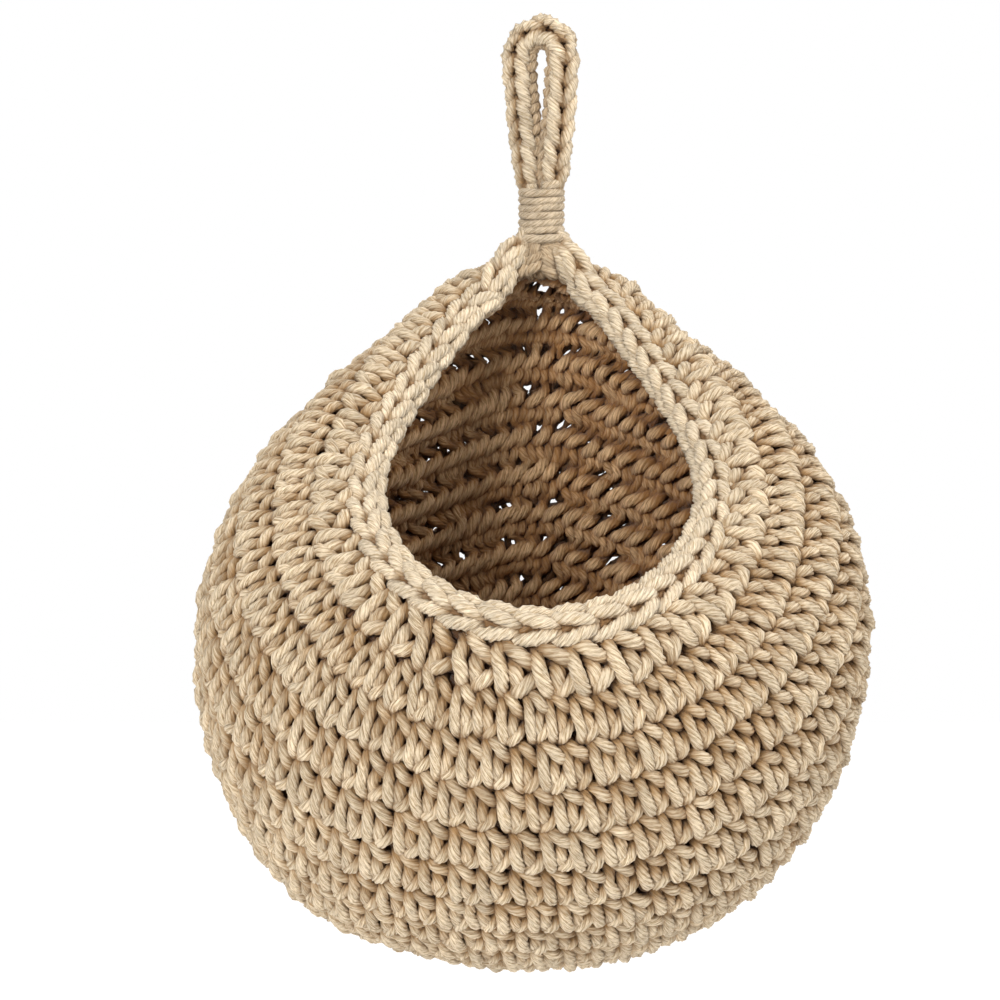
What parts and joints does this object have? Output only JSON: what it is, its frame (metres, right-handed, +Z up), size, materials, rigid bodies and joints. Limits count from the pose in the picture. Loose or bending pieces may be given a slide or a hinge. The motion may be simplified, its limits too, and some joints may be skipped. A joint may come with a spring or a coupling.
{
  "type": "hanging storage bag",
  "caption": "Round crocheted cotton-cord hanging bag with a teardrop mouth, braided edging, bound neck and strap loop for a wall hook.",
  "frame": {"origin": "inside of the loop's top, where a hook carries the bag", "axes": "+Z up, -Y out of the mouth to the front, +Y towards the wall behind, +X to the right seen from the front"},
  "size_m": [0.2454, 0.2166, 0.3583],
  "materials": {
    "wall_cord": "matt twisted cotton cord",
    "edging_cord": "matt twisted cotton cord",
    "binding_cord": "matt thin cotton cord"
  },
  "bodies": {
    "loop": {"hanging_loop": "edging_cord"},
    "neck": {"stem_right": "edging_cord", "stem_left": "edging_cord", "neck_binding": "binding_cord"},
    "bag": {"neck_gather": "wall_cord", "mouth_edging": "edging_cord", "base_start": "wall_cord", "course_02": "wall_cord", "course_03": "wall_cord", "course_04": "wall_cord", "course_05": "wall_cord", "course_06": "wall_cord", "course_07": "wall_cord", "course_08": "wall_cord", "course_09": "wall_cord", "course_10": "wall_cord", "course_11": "wall_cord", "course_12": "wall_cord", "course_13": "wall_cord", "course_14": "wall_cord", "course_15": "wall_cord", "course_16": "wall_cord"}
  },
  "joints": [
    {"name": "neck_sway", "type": "hinge", "parent": "loop", "child": "neck", "pos_m": [0, 0, -0.0469], "axis": [0, 1, 0], "range_deg": [-25, 25]},
    {"name": "bag_swing", "type": "hinge", "parent": "neck", "child": "bag", "pos_m": [0, 0, -0.0802], "axis": [-1, 0, 0], "range_deg": [0, 30]}
  ]
}
